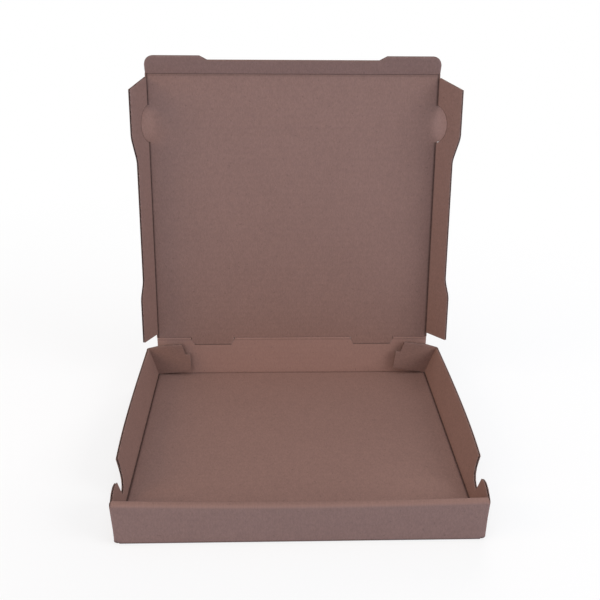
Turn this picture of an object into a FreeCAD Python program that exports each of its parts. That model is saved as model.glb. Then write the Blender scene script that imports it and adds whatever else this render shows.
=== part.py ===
import FreeCAD, Part
import os

import Sketcher

# An open pizza box folded from one sheet of corrugated board.
# Frame: X to the right, Y to the rear where the lid hinges, Z up.
# The origin is in the middle of the floor panel's underside.
# The tray is one folded piece. The lid and its three tuck flaps are separate
# pieces, because each of them turns on a crease of its own.

# Every size that can be set by itself, in millimetres and degrees.
SIZES = [
    ("board", 2.5, "thickness of the corrugated board"),
    ("base_width", 305.0, "floor panel between its side creases"),
    ("base_depth", 302.0, "floor panel between its front and rear creases"),
    ("rear_height", 43.0, "lid hinge above the floor's upper face"),
    ("side_height", 34.0, "side wall from crease to edge, along its slope"),
    ("front_height", 34.7, "top of the front wall above the floor's upper face"),
    ("front_lean_angle", 3.0, "outward lean of both side walls at the front"),
    ("left_near_angle", 12.0, "outward lean of the left wall at its finger notch"),
    ("left_bow_angle", 17.3, "outward lean of the left wall where it bows most"),
    ("left_rear_angle", 16.5, "outward lean of the left wall at the rear"),
    ("right_near_angle", 14.5, "outward lean of the right wall at its finger notch"),
    ("right_bow_angle", 21.5, "outward lean of the right wall where it bows most"),
    ("right_rear_angle", 20.0, "outward lean of the right wall at the rear"),
    ("near_place", 56.0, "from the front crease to where the lean at the notch holds"),
    ("bow_place", 121.0, "from the front crease to where the side walls bow"),
    ("ply_gap", 0.2, "air between the layers of the front roll"),
    ("roll_radius", 2.0, "rounding of the roll's two top creases"),
    ("end_tab_length", 68.0, "end tab inside the front roll"),
    ("end_tab_cut", 6.0, "cut at the upper corner of an end tab"),
    ("front_foot_inset", 0.8, "front wall narrower at its foot, at each end"),
    ("front_corner_cut", 4.0, "cut at the lower corners of the front wall, across"),
    ("front_corner_rise", 1.5, "cut at the lower corners of the front wall, upward"),
    ("lining_gap", 1.2, "front lining short of the side walls"),
    ("lock_place", 75.0, "middle of a lock tab from the box's middle"),
    ("lock_width", 38.0, "width of a lock tab"),
    ("slot_gap", 0.4, "air round a lock tab in its slot"),
    ("ear_length", 38.5, "corner ear along its upper edge"),
    ("ear_toe", 5.0, "lower part of a corner ear past its upper part"),
    ("ear_step", 17.0, "height of the step in a corner ear's end"),
    ("ear_step_slant", 1.5, "how far the step slants down to the toe"),
    ("ear_fall", 4.5, "how far a corner ear's upper edge falls to its end"),
    ("ear_foot", 0.5, "corner ear's root above the side wall's foot"),
    ("ear_drop", 4.5, "how far a corner ear's lower edge slants down"),
    ("ear_height", 34.0, "corner ear at its highest point"),
    ("ear_angle", 6.0, "how far a corner ear stands off the rear wall"),
    ("ear_gap", 0.3, "air between a corner ear's root and the rear wall"),
    ("finger_place", 70.5, "from the front crease to the rear of a finger notch"),
    ("finger_width", 19.0, "finger notch from its rear to its lowest point"),
    ("finger_floor", 16.2, "bottom of a finger notch above the ground"),
    ("finger_rise", 18.3, "rear of a finger notch above its bottom"),
    ("tooth_slope", 9.0, "how far the front of a finger notch slants"),
    ("tooth_height", 29.8, "tip of the tooth above the ground"),
    ("shoulder_run", 21.0, "from the tooth's tip to the wall's front height"),
    ("shoulder_rise", 5.9, "wall's front height above the tooth's tip"),
    ("hinge_gap", 0.35, "air in a crease that turns"),
    ("lid_length", 290.0, "lid from the hinge to its front crease"),
    ("lid_inset", 0.7, "lid's side crease inside the floor's side crease"),
    ("lid_lean_angle", 4.7, "how far the open lid leans back"),
    ("left_fold_angle", 69.0, "fold of the left flap in the photograph"),
    ("right_fold_angle", 57.0, "fold of the right flap in the photograph"),
    ("front_fold_angle", 27.0, "fold of the front flap in the photograph"),
    ("hinge_tab_inner", 69.0, "lower corner of a hinge tab from the middle"),
    ("hinge_tab_width", 42.0, "hinge tab along its lower edge"),
    ("hinge_tab_depth", 6.5, "hinge tab below the hinge"),
    ("hinge_tab_flare", 3.5, "how much wider a hinge tab is at each end on top"),
    ("hinge_tab_gap", 0.85, "air round a hinge tab in its notch"),
    ("moon_place", 240.0, "middle of a half-moon tab from the hinge"),
    ("moon_radius", 19.3, "radius of a half-moon tab"),
    ("moon_reach", 16.0, "half-moon tab past the lid's side crease"),
    ("moon_gap", 0.6, "air between a half-moon tab and the flap it was cut from"),
    ("flap_front", 288.0, "front end of a side flap from the hinge"),
    ("flap_bevel", 11.0, "how far a side flap's front end is cut back"),
    ("flap_front_width", 35.8, "side flap at its wide front part"),
    ("flap_front_part", 229.0, "rear of the wide front part from the hinge"),
    ("flap_step", 25.0, "length of the step behind the wide front part"),
    ("flap_waist", 26.0, "side flap at its narrow middle"),
    ("flap_rear_part", 57.0, "front of the wide rear part from the hinge"),
    ("flap_rear_step", 16.0, "length of the step before the wide rear part"),
    ("flap_rear_width", 32.0, "side flap at its wide rear part"),
    ("flap_root", 6.7, "rear end of a side flap's root from the hinge"),
    ("flap_heel", 6.4, "rear end of a side flap's outer edge from the hinge"),
    ("flap_round", 12.0, "rounding of the steps in a side flap"),
    ("front_flap_width", 305.0, "front flap from end to end"),
    ("front_flap_reach", 16.3, "front flap in its middle"),
    ("lobe_reach", 21.1, "front flap at its lobes"),
    ("lobe_inner", 96.0, "inner end of a lobe from the middle"),
    ("lobe_slope", 8.0, "length of the slope at a lobe's inner end"),
    ("lobe_round", 10.0, "rounding of a lobe's outer corner"),
]

# Places that several pieces share, as formulas of the sizes.
HALF_WIDTH = "sizes.base_width / 2"
HALF_DEPTH = "sizes.base_depth / 2"
HINGE_Y = "(sizes.base_depth / 2 + sizes.board / 2)"
HINGE_Z = "(sizes.board + sizes.rear_height)"
ROLL_TOP = "(sizes.board + sizes.front_height)"
TAB_LAYER = "(sizes.base_depth / 2 - sizes.ply_gap)"
LINING_FRONT = "(sizes.base_depth / 2 - 2 * sizes.ply_gap - sizes.board)"
LINING_REAR = "(sizes.base_depth / 2 - 2 * sizes.ply_gap - 2 * sizes.board)"
EAR_BACK = "(sizes.base_depth / 2 - sizes.ear_gap)"
LID_CREASE = "(sizes.base_width / 2 - sizes.lid_inset)"
ROOT = "(sizes.board / 2 + sizes.hinge_gap)"
MOON_CENTRE = "(sizes.moon_reach - sizes.moon_radius)"

doc = FreeCAD.newDocument("pizza_box")


def make_sheet():
    """Put the sizes in a spreadsheet, one alias a row."""
    sheet = doc.addObject("Spreadsheet::Sheet", "sizes")
    for row, (alias, value, meaning) in enumerate(SIZES, start=1):
        sheet.set(f"A{row}", meaning)
        sheet.set(f"B{row}", str(value))
        sheet.setAlias(f"B{row}", alias)
    doc.recompute()
    return sheet


def value_of(formula):
    """Work out a formula of the sizes."""
    return float(sizes.evalExpression(str(formula)))


def make_body(name):
    """Start a piece."""
    body = doc.addObject("PartDesign::Body", name)
    body.Label = name
    return body


def make_sketch(body, name, role, offset=None):
    """Make an empty sketch on one of the body's own origin planes."""
    plane = next(o for o in body.Origin.OriginFeatures if o.Role == role)
    sketch = body.newObject("Sketcher::SketchObject", f"{name}_sketch")
    sketch.AttachmentSupport = [(plane, "")]
    sketch.MapMode = "FlatFace"
    if offset:
        sketch.setExpression("AttachmentOffset", offset)
    return sketch


def shifted(distance):
    """Offset of a sketch along its plane's normal."""
    return f"placement(vector(0; 0; {distance}); rotationz(0))"


def fix_point(sketch, geometry, end, x, y):
    """Tie a point of a sketch to two formulas."""
    for kind, formula in (("DistanceX", x), ("DistanceY", y)):
        rule = Sketcher.Constraint(kind, -1, 1, geometry, end, value_of(formula))
        index = sketch.addConstraint(rule)
        sketch.setExpression(f"Constraints[{index}]", str(formula))


def add_outline(sketch, points):
    """Add a closed outline of straight lines with its corners on formulas."""
    first = sketch.GeometryCount
    corners = [FreeCAD.Vector(value_of(x), value_of(y), 0) for x, y in points]
    count = len(corners)
    for i in range(count):
        sketch.addGeometry(Part.LineSegment(corners[i], corners[(i + 1) % count]), False)
    for i in range(count):
        after = first + (i + 1) % count
        sketch.addConstraint(Sketcher.Constraint("Coincident", first + i, 2, after, 1))
    for i, (x, y) in enumerate(points):
        fix_point(sketch, first + i, 1, x, y)


def outline(body, name, role, points, offset=None):
    """Make a sketch with one closed outline."""
    sketch = make_sketch(body, name, role, offset)
    add_outline(sketch, points)
    return sketch


def sector(body, name, role, centre, radius, start, sweep, offset=None):
    """Make a sketch of a quarter or half disc whose straight sides lie along the axes."""
    sketch = make_sketch(body, name, role, offset)
    middle = FreeCAD.Vector(value_of(centre[0]), value_of(centre[1]), 0)
    size = value_of(radius)
    begin = FreeCAD.Units.Quantity(f"{start} deg").getValueAs("rad").Value
    end = FreeCAD.Units.Quantity(f"{start + sweep} deg").getValueAs("rad").Value
    arc = Part.ArcOfCircle(Part.Circle(middle, FreeCAD.Vector(0, 0, 1), size), begin, end)
    sketch.addGeometry(Part.LineSegment(middle, arc.StartPoint), False)
    sketch.addGeometry(arc, False)
    sketch.addGeometry(Part.LineSegment(arc.EndPoint, middle), False)
    rules = [("Coincident", 0, 2, 1, 1), ("Coincident", 1, 2, 2, 1)]
    rules += [("Coincident", 2, 2, 0, 1), ("Coincident", 1, 3, 0, 1)]
    rules += [("Vertical" if start % 180 else "Horizontal", 0)]
    rules += [("Vertical" if (start + sweep) % 180 else "Horizontal", 2)]
    for rule in rules:
        sketch.addConstraint(Sketcher.Constraint(*rule))
    fix_point(sketch, 0, 1, *centre)
    index = sketch.addConstraint(Sketcher.Constraint("Radius", 1, size))
    sketch.setExpression(f"Constraints[{index}]", radius)
    return sketch


def circle(body, name, role, centre, radius, offset=None):
    """Make a sketch of one circle."""
    sketch = make_sketch(body, name, role, offset)
    middle = FreeCAD.Vector(value_of(centre[0]), value_of(centre[1]), 0)
    size = value_of(radius)
    sketch.addGeometry(Part.Circle(middle, FreeCAD.Vector(0, 0, 1), size), False)
    fix_point(sketch, 0, 3, *centre)
    index = sketch.addConstraint(Sketcher.Constraint("Radius", 0, size))
    sketch.setExpression(f"Constraints[{index}]", radius)
    return sketch


def pad(body, name, sketch, length, both_ways=False):
    """Thicken a sketch along its normal, or half to each side."""
    feature = body.newObject("PartDesign::Pad", name)
    feature.Profile = sketch
    feature.SideType = "Symmetric" if both_ways else "One side"
    feature.setExpression("Length", length)
    body.Tip = feature
    return feature


def pocket(body, name, sketch, length):
    """Cut a sketch's outline out of the body, half the length to each side."""
    doc.recompute()
    before = body.Shape.Volume
    feature = body.newObject("PartDesign::Pocket", name)
    feature.Profile = sketch
    feature.SideType = "Symmetric"
    feature.setExpression("Length", length)
    body.Tip = feature
    doc.recompute()
    if body.Shape.Volume > before - 0.01:
        raise RuntimeError(f"{name} cuts nothing")
    return feature


def round_edges(body, name, radius, spots):
    """Round the straight edges whose middles are nearest to the spots."""
    doc.recompute()
    base = body.Tip
    names = []
    for spot in spots:
        target = FreeCAD.Vector(*(value_of(part) for part in spot))
        edges = enumerate(base.Shape.Edges, start=1)
        gaps = [((e.CenterOfMass - target).Length, f"Edge{i}") for i, e in edges]
        names.append(min(gaps)[1])
    feature = body.newObject("PartDesign::Fillet", name)
    feature.Base = (base, names)
    feature.setExpression("Radius", radius)
    body.Tip = feature
    return feature


def wall_section(side, lean):
    """Cross-section of a side wall: its two faces slope outward by the lean."""
    foot = f"{side} * {HALF_WIDTH}"
    rise = f"sizes.side_height * cos({lean})"
    run = f"{side} * sizes.side_height * sin({lean})"
    thick_x = f"{side} * sizes.board * cos({lean})"
    thick_z = f"sizes.board * sin({lean})"
    return [
        (foot, "sizes.board"),
        (f"{foot} + {run}", f"sizes.board + {rise}"),
        (f"{foot} + {run} + {thick_x}", f"sizes.board + {rise} - {thick_z}"),
        (f"{foot} + {thick_x}", f"sizes.board - {thick_z}"),
    ]


def add_side_wall(body, word, side):
    """Add a side wall that leans out, bows and twists, with the fold at its foot."""
    places = [
        (f"{TAB_LAYER}", "sizes.front_lean_angle"),
        (f"({HALF_DEPTH} - sizes.near_place)", f"sizes.{word}_near_angle"),
        (f"({HALF_DEPTH} - sizes.bow_place)", f"sizes.{word}_bow_angle"),
        (f"-{EAR_BACK}", f"sizes.{word}_rear_angle"),
    ]
    sketches = []
    for number, (place, lean) in enumerate(places, start=1):
        name = f"{word}_wall_{number}"
        sketches.append(outline(body, name, "XZ_Plane", wall_section(side, lean), shifted(place)))
    loft = body.newObject("PartDesign::AdditiveLoft", f"{word}_wall")
    loft.Profile = sketches[0]
    loft.Sections = sketches[1:]
    body.Tip = loft
    start = 270 if side > 0 else 180
    centre = (f"{side} * {HALF_WIDTH}", "sizes.board")
    fold = sector(body, f"{word}_fold", "XZ_Plane", centre, "sizes.board", start, 90, shifted(f"-{EAR_BACK}"))
    pad(body, f"{word}_fold", fold, f"{TAB_LAYER} + {EAR_BACK}")


def add_finger_notches(body):
    """Cut the finger notch and its tooth in both side walls, and their lower front ends."""
    rear = f"(sizes.finger_place - {HALF_DEPTH})"
    pit = f"({rear} - sizes.finger_width)"
    tip = f"({pit} - sizes.tooth_slope)"
    above = "2 * sizes.side_height"
    under = "(sizes.front_height - sizes.ply_gap)"
    strip = f"(sizes.ply_gap - {LINING_REAR})"
    points = [(rear, above)]
    for run, rise in ((0.0, 1.0), (0.05, 0.75), (0.13, 0.48), (0.28, 0.24), (0.5, 0.09), (0.75, 0.015)):
        points.append((f"{rear} - {run} * sizes.finger_width", f"sizes.finger_floor + {rise} * sizes.finger_rise"))
    points += [
        (pit, "sizes.finger_floor"),
        (f"{pit} - 0.35 * sizes.tooth_slope", "sizes.finger_floor + 0.3 * (sizes.tooth_height - sizes.finger_floor)"),
        (tip, "sizes.tooth_height"),
        (f"{tip} - 0.22 * sizes.shoulder_run", "sizes.tooth_height + 0.37 * sizes.shoulder_rise"),
        (f"{tip} - 0.5 * sizes.shoulder_run", "sizes.tooth_height + 0.71 * sizes.shoulder_rise"),
        (f"{tip} - sizes.shoulder_run", "sizes.tooth_height + sizes.shoulder_rise"),
        (strip, "sizes.tooth_height + sizes.shoulder_rise"),
        (strip, under),
        (f"-{HALF_DEPTH} - sizes.board", under),
        (f"-{HALF_DEPTH} - sizes.board", above),
    ]
    sketch = outline(body, "finger_notches", "YZ_Plane", points)
    pocket(body, "finger_notches", sketch, "2 * sizes.base_width")


def add_end_tab(body, word, side):
    """Add the tab that turns in from a side wall's front end and lies inside the roll."""
    foot = "(sizes.board + sizes.ply_gap)"
    head = "(sizes.front_height - sizes.ply_gap)"
    outer = f"{side} * ({HALF_WIDTH} + ({{}} - sizes.board) * tan(sizes.front_lean_angle) + sizes.board / 2)"
    inner = f"{side} * ({HALF_WIDTH} - sizes.end_tab_length)"
    points = [
        (inner, foot),
        (outer.format(foot), foot),
        (outer.format(head), head),
        (f"{inner} + {side} * sizes.end_tab_cut", head),
        (inner, f"{head} - sizes.end_tab_cut"),
    ]
    place = f"({TAB_LAYER} - sizes.board)"
    sketch = outline(body, f"{word}_end_tab", "XZ_Plane", points, shifted(place))
    pad(body, f"{word}_end_tab", sketch, "sizes.board")


def add_ear(body, word, side):
    """Add the ear that turns in from a side wall's rear end, in front of the rear wall."""
    lean = f"sizes.{word}_rear_angle"
    root_x = f"{side} * ({HALF_WIDTH} + sizes.board * cos({lean}))"
    root_z = f"(sizes.board - sizes.board * sin({lean}))"
    turn = f"rotationz({-side} * {lean})"
    swing = f"rotationy({side} * sizes.ear_angle)"
    place = (
        f"placement(vector({root_x}; {root_z}; -{EAR_BACK}); {turn})"
        f" * placement(vector(0; 0; 0); {swing})"
    )
    along = f"{-side} * (sizes.board + {{}})"
    points = [
        ("0", "sizes.ear_foot"),
        (along.format("sizes.ear_length"), "-sizes.ear_drop"),
        (along.format("sizes.ear_length + sizes.ear_toe"), "sizes.ear_step - sizes.ear_step_slant"),
        (along.format("sizes.ear_length - sizes.ear_foot"), "sizes.ear_step"),
        (along.format("sizes.ear_length"), "sizes.ear_height - sizes.ear_fall"),
        (along.format("0.45 * sizes.ear_length"), "sizes.ear_height"),
        ("0", "sizes.side_height"),
    ]
    sketch = outline(body, f"{word}_ear", "XZ_Plane", points, place)
    pad(body, f"{word}_ear", sketch, "sizes.board")


def add_rear_wall(body):
    """Add the rear wall: its fold, its rounded top crease and the notches for the hinge tabs."""
    front = HALF_DEPTH
    back = f"{HALF_DEPTH} + sizes.board"
    points = [(front, "sizes.board"), (back, "sizes.board"), (back, HINGE_Z), (front, HINGE_Z)]
    wall = outline(body, "rear_wall", "YZ_Plane", points)
    pad(body, "rear_wall", wall, "sizes.base_width", both_ways=True)
    fold = sector(body, "rear_fold", "YZ_Plane", (HALF_DEPTH, "sizes.board"), "sizes.board", 270, 90)
    pad(body, "rear_fold", fold, "sizes.base_width", both_ways=True)
    crease = sector(body, "rear_crease", "YZ_Plane", (HINGE_Y, HINGE_Z), "sizes.board / 2", 0, 180)
    pad(body, "rear_crease", crease, "sizes.base_width", both_ways=True)
    bottom = f"({HINGE_Z} - sizes.hinge_tab_depth - sizes.hinge_tab_gap)"
    top = f"({HINGE_Z} + sizes.board)"
    flare = "(sizes.hinge_tab_flare * (sizes.board / sizes.hinge_tab_depth + 1))"
    for word, side in (("left", -1), ("right", 1)):
        inner = "(sizes.hinge_tab_inner - sizes.hinge_tab_gap)"
        outer = "(sizes.hinge_tab_inner + sizes.hinge_tab_width + sizes.hinge_tab_gap)"
        points = [
            (f"{side} * {inner}", bottom),
            (f"{side} * {outer}", bottom),
            (f"{side} * ({outer} + {flare})", top),
            (f"{side} * ({inner} - {flare})", top),
        ]
        notch = outline(body, f"{word}_hinge_notch", "XZ_Plane", points, shifted(f"-{HINGE_Y}"))
        pocket(body, f"{word}_hinge_notch", notch, "3 * sizes.board")


def add_front_roll(body):
    """Add the front wall, rolled over the end tabs and down again to its lock tabs."""
    half = f"({HALF_WIDTH} + sizes.board)"
    foot = f"({half} - sizes.front_foot_inset)"
    end = f"({foot} - sizes.front_corner_cut)"
    rise = "sizes.board + sizes.front_corner_rise"
    points = [
        (f"-{end}", "sizes.board"),
        (end, "sizes.board"),
        (foot, rise),
        (half, ROLL_TOP),
        (f"-{half}", ROLL_TOP),
        (f"-{foot}", rise),
    ]
    panel = outline(body, "front_panel", "XZ_Plane", points, shifted(HALF_DEPTH))
    pad(body, "front_panel", panel, "sizes.board")
    centre = (f"-{HALF_DEPTH}", "sizes.board")
    fold = sector(body, "front_fold", "YZ_Plane", centre, "sizes.board", 180, 90)
    pad(body, "front_fold", fold, f"2 * {end}", both_ways=True)
    under = f"({ROLL_TOP} - sizes.board)"
    front, rear = f"-{HALF_DEPTH}", f"-{LINING_REAR}"
    points = [(front, under), (rear, under), (rear, ROLL_TOP), (front, ROLL_TOP)]
    strip = outline(body, "roll_top", "YZ_Plane", points)
    pad(body, "roll_top", strip, f"2 * {half}", both_ways=True)
    foot = "(sizes.board + sizes.slot_gap)"
    front = f"-{LINING_FRONT}"
    points = [(front, foot), (rear, foot), (rear, under), (front, under)]
    lining = outline(body, "front_lining", "YZ_Plane", points)
    pad(body, "front_lining", lining, "sizes.base_width - 2 * sizes.lining_gap", both_ways=True)
    ends = [f"-{HALF_DEPTH} - sizes.board", rear]
    round_edges(body, "roll_creases", "sizes.roll_radius", [("0", y, ROLL_TOP) for y in ends])


def add_locks(body):
    """Cut the floor's two slots and add the lining's lock tabs that stand in them."""
    thick = f"({LINING_FRONT} - {LINING_REAR})"
    middle = f"-({LINING_FRONT} + {LINING_REAR}) / 2"
    for word, side in (("left", -1), ("right", 1)):
        centre = f"{side} * sizes.lock_place"
        for name, grow in ((f"{word}_slot", "sizes.slot_gap"), (f"{word}_lock", "0")):
            half_x = f"(sizes.lock_width / 2 + {grow})"
            half_y = f"({thick} / 2 + {grow})"
            corners = [(-1, -1), (1, -1), (1, 1), (-1, 1)]
            points = [(f"{centre} + {a} * {half_x}", f"{middle} + {b} * {half_y}") for a, b in corners]
            if grow == "0":
                sketch = outline(body, name, "XY_Plane", points, shifted("sizes.slot_gap"))
                pad(body, name, sketch, "sizes.board + sizes.slot_gap")
            else:
                sketch = outline(body, name, "XY_Plane", points)
                pocket(body, name, sketch, "2 * (sizes.board + sizes.slot_gap / 2)")


def make_tray():
    """Fold the tray: floor, walls, corner ears and the rolled front wall in one piece."""
    body = make_body("tray")
    corners = [(-1, -1), (1, -1), (1, 1), (-1, 1)]
    points = [(f"{a} * {HALF_WIDTH}", f"{b} * {HALF_DEPTH}") for a, b in corners]
    pad(body, "floor", outline(body, "floor", "XY_Plane", points), "sizes.board")
    add_rear_wall(body)
    for word, side in (("left", -1), ("right", 1)):
        add_side_wall(body, word, side)
    add_finger_notches(body)
    for word, side in (("left", -1), ("right", 1)):
        add_end_tab(body, word, side)
        add_ear(body, word, side)
    add_front_roll(body)
    add_locks(body)
    return body


def make_lid():
    """Make the lid flat: X across, Y from the hinge to the front, Z to its inner side."""
    body = make_body("lid")
    edge = LID_CREASE
    length = "sizes.lid_length"
    tab_x = "sizes.hinge_tab_inner"
    tab_end = f"({tab_x} + sizes.hinge_tab_width)"
    flare = "sizes.hinge_tab_flare"
    low = "-sizes.hinge_tab_depth"
    right = [
        (f"{tab_x} - {flare}", ROOT),
        (f"{tab_x} - {flare}", "0"),
        (tab_x, low),
        (tab_end, low),
        (f"{tab_end} + {flare}", "0"),
        (f"{tab_end} + {flare}", ROOT),
        (edge, ROOT),
        (edge, length),
    ]
    left = [(f"-({x})", y) for x, y in reversed(right)]
    panel = outline(body, "panel", "XY_Plane", right + left)
    pad(body, "panel", panel, "sizes.board", both_ways=True)
    run = f"({length} - {ROOT})"
    for word, side, start in (("left", -1, 90), ("right", 1, 270)):
        centre = (f"{side} * {edge}", "0")
        crease = sector(body, f"{word}_crease", "XZ_Plane", centre, "sizes.board / 2", start, 180, shifted(f"-{length}"))
        pad(body, f"{word}_crease", crease, run)
        moon_centre = (f"{side} * ({edge} + {MOON_CENTRE})", "sizes.moon_place")
        moon = sector(body, f"{word}_moon", "XY_Plane", moon_centre, "sizes.moon_radius", start, 180)
        pad(body, f"{word}_moon", moon, "sizes.board", both_ways=True)
    front = sector(body, "front_crease", "YZ_Plane", (length, "0"), "sizes.board / 2", 270, 180)
    pad(body, "front_crease", front, f"2 * {edge}", both_ways=True)
    turned = f"rotationx(90 - sizes.lid_lean_angle)"
    body.setExpression("Placement", f"placement(vector(0; {HINGE_Y}; {HINGE_Z}); {turned})")
    return body


def hollow_root(body, role, centre, relief, length):
    """Hollow a flap's root so that it turns round the rounded edge of the lid."""
    ring = circle(body, "root_hollow", role, centre, ROOT)
    pocket(body, "root_hollow", ring, length)
    corner = outline(body, "root_relief", role, relief)
    pocket(body, "root_relief", corner, length)


def make_side_flap(word, side):
    """Make a side flap flat, as the lid is, with its crease along Y through the origin."""
    body = make_body(f"lid_{word}_flap")
    wide = "sizes.flap_front_width"
    waist = "sizes.flap_waist"
    rear_wide = "sizes.flap_rear_width"
    bevel_end = "(sizes.flap_front - sizes.flap_bevel)"
    step = "(sizes.flap_front_part - sizes.flap_step)"
    rear_step = "(sizes.flap_rear_part + sizes.flap_rear_step)"
    profile = [
        ("0", "sizes.flap_root"),
        (rear_wide, "sizes.flap_heel"),
        (rear_wide, "sizes.flap_rear_part"),
        (waist, rear_step),
        (waist, step),
        (wide, "sizes.flap_front_part"),
        (wide, bevel_end),
        ("0", "sizes.flap_front"),
    ]
    points = [(f"{side} * ({x})", y) for x, y in profile]
    pad(body, "panel", outline(body, "panel", "XY_Plane", points), "sizes.board", both_ways=True)
    spots = [(f"{side} * {x}", y, "0") for x, y in profile[2:6]]
    round_edges(body, "step_rounding", "sizes.flap_round", spots)
    moon = circle(body, "moon_hole", "XY_Plane", (f"{side} * {MOON_CENTRE}", "sizes.moon_place"), "sizes.moon_radius + sizes.moon_gap")
    pocket(body, "moon_hole", moon, "2 * sizes.board")
    relief = [(f"-{side} * {ROOT}", "0"), (f"{side} * {ROOT}", "0"), (f"{side} * {ROOT}", "sizes.board"), (f"-{side} * {ROOT}", "sizes.board")]
    hollow_root(body, "XZ_Plane", ("0", "0"), relief, "3 * sizes.lid_length")
    turned = f"rotationy({-side} * sizes.{word}_fold_angle)"
    body.setExpression("Placement", f"lid.Placement * placement(vector({side} * {LID_CREASE}; 0; 0); {turned})")
    return body


def make_front_flap():
    """Make the front flap flat, with its crease along X through the origin."""
    body = make_body("lid_front_flap")
    half = "sizes.front_flap_width / 2"
    right = [
        ("sizes.lobe_inner - sizes.lobe_slope", "sizes.front_flap_reach"),
        ("sizes.lobe_inner", "sizes.lobe_reach"),
        (half, "sizes.lobe_reach"),
        (half, "0"),
    ]
    left = [(f"-({x})", y) for x, y in reversed(right)]
    pad(body, "panel", outline(body, "panel", "XY_Plane", right[::-1] + left[::-1]), "sizes.board", both_ways=True)
    spots = [(f"{side} * {half}", "sizes.lobe_reach", "0") for side in (-1, 1)]
    round_edges(body, "lobe_rounding", "sizes.lobe_round", spots)
    relief = [(f"-{ROOT}", "0"), (ROOT, "0"), (ROOT, "sizes.board"), (f"-{ROOT}", "sizes.board")]
    hollow_root(body, "YZ_Plane", ("0", "0"), relief, "2 * sizes.front_flap_width")
    turned = "rotationx(sizes.front_fold_angle)"
    body.setExpression("Placement", f"lid.Placement * placement(vector(0; sizes.lid_length; 0); {turned})")
    return body


def check_and_write(bodies):
    """Stop on any failed object or shape, then write one STEP file a piece."""
    doc.recompute()
    for thing in doc.Objects:
        if "Invalid" in thing.State or "Error" in thing.State:
            raise RuntimeError(f"{thing.Name} failed: {thing.State}")
    os.makedirs("parts", exist_ok=True)
    for body in bodies:
        shape = body.Shape
        if shape.isNull() or not shape.isValid() or len(shape.Solids) != 1:
            raise RuntimeError(f"{body.Label} has no single valid solid")
        shape.exportStep(f"parts/{body.Label}.step")
        print(body.Label, round(shape.Volume), "mm3")


sizes = make_sheet()
pieces = [make_tray(), make_lid()]
pieces += [make_side_flap("left", -1), make_side_flap("right", 1), make_front_flap()]
check_and_write(pieces)
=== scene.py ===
"""An open kraft pizza box: fluted board panels, folds, paper and a plain studio."""

import logging
import math
from dataclasses import dataclass
from enum import Enum
from typing import Callable, Optional, Sequence, Union

import bmesh
import bpy
import numpy as np
from mathutils import Matrix

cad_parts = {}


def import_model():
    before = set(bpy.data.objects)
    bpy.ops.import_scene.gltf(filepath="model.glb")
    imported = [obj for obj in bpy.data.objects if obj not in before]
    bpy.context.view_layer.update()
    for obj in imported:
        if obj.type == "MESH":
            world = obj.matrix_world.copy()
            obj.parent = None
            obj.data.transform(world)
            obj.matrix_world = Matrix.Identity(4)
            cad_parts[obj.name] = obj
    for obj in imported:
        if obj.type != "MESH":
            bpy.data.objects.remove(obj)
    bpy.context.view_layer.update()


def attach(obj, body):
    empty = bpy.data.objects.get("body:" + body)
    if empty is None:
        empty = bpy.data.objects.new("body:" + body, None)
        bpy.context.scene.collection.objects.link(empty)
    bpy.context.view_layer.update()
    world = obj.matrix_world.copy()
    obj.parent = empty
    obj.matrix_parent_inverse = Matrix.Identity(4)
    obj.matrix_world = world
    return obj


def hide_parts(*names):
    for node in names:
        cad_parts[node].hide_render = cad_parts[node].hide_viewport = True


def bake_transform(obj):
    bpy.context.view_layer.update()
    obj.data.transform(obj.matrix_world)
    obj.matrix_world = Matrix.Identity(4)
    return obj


MM = 0.001
SHARP_ANGLE = math.radians(38)
# Millimetres between two rows where a panel's outline jumps.
JUMP = 0.02
# The least width of a row, in millimetres.
SLIVER = 0.05
ROUNDING = 1e-6
RIGHT = np.array([1.0, 0.0, 0.0])
REAR = np.array([0.0, 1.0, 0.0])
UP = np.array([0.0, 0.0, 1.0])
WHITE = (1.0, 1.0, 1.0, 1.0)

Array = np.ndarray
Row = tuple[float, float, float]
Colour = tuple[float, float, float, float]
Placer = Callable[[Array, Array, Array], Array]
Socket = bpy.types.NodeSocket
Value = Union[float, tuple[float, ...], bpy.types.NodeSocket]
log = logging.getLogger("pizza_box")


class Side(Enum):
    """What one side of a board panel is."""

    CUT = "cut by the die, so the flutes show"
    CREASE = "pressed for a fold"
    SCORE = "lightly scored for a fold"
    ROUND = "rolled over at a hinge crease"
    ROOT = "next to a hinge crease"
    PLAIN = "met by the next panel"


@dataclass(frozen=True)
class Board:
    """Corrugated board: two papers with a wavy paper between them, in millimetres.

    Attributes:
        thickness: The board's own thickness.
        paper: The thickness of the papers outside.
        medium: The thickness of the wavy paper.
        pitch: The length of one flute.
        wave_samples: How many rows of points the wavy paper has in a flute.
        paper_samples: How many the other papers have.
        sink: How far the papers sink between the flutes.
        press_depth: How deep a fold is pressed.
        press_width: How wide it is pressed.
        line_width: How wide its line of painted crease shade is.
        score_share: How much of a fold's depth and painted crease shade a score has.
        edge_squeeze: How much of the thickness a cut takes away.
        core_inset: How far the wavy paper stops short of a side.
        rim_width: How wide a cut edge is worn.
        round_place: How far from a rolled edge its line of painted shade is.
        round_width: How wide that painted shade line is.
        round_least: The square of the share of thickness that a rolled edge keeps.
        column_room: A row's least width for full columns, as a share of their reach.
        least_swing: The least height of a flute's wave.
    """

    thickness: float = 2.5
    paper: float = 0.28
    medium: float = 0.22
    pitch: float = 6.4
    wave_samples: int = 8
    paper_samples: int = 4
    sink: float = 0.022
    press_depth: float = 0.75
    press_width: float = 1.0
    line_width: float = 0.62
    score_share: float = 0.4
    edge_squeeze: float = 0.12
    core_inset: float = 0.12
    rim_width: float = 0.7
    round_place: float = 2.0
    round_width: float = 0.9
    round_least: float = 0.002
    column_room: float = 2.2
    least_swing: float = 0.02

    @property
    def half(self) -> float:
        """Half the board's thickness."""
        return self.thickness / 2


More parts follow.
